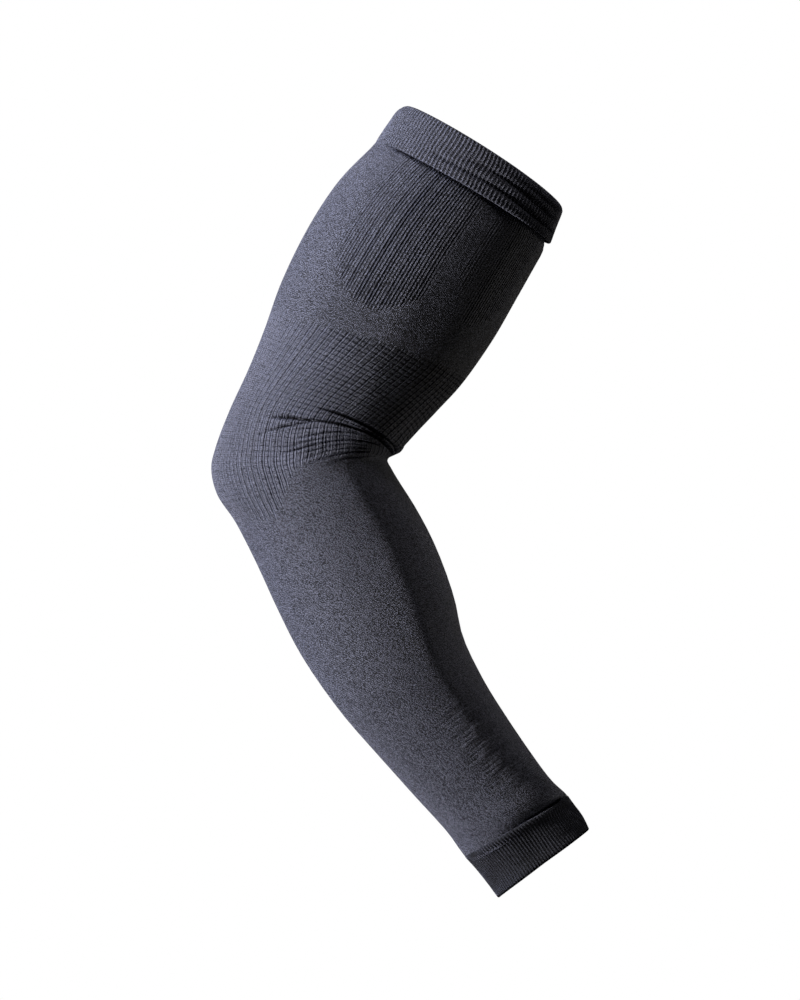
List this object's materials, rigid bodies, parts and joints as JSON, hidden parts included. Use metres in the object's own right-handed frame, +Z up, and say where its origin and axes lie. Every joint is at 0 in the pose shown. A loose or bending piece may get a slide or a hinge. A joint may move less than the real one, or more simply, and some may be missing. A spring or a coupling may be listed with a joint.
{
  "type": "arm sleeve",
  "caption": "Knitted tube sleeve for a bent arm, with a turned ribbed band at the upper arm, folds fanning out of the crook of the elbow and a ribbed cuff at the wrist.",
  "frame": {"origin": "middle of the upper opening, in the plane of the band's rim, where the upper arm goes in", "axes": "the arm bends in the XZ plane with the crook of the elbow towards +X; +Z up, from the wrist towards the shoulder; Y across the arm"},
  "size_m": [0.1883, 0.1012, 0.3941],
  "materials": {
    "jersey_knit": "fine dark slate knit, soft sheen",
    "rib_knit": "dark slate rib knit, matt"
  },
  "bodies": {
    "root": {"upper_band": "rib_knit", "upper_sleeve": "jersey_knit", "forearm_sleeve": "jersey_knit", "wrist_cuff": "rib_knit"}
  },
  "joints": []
}
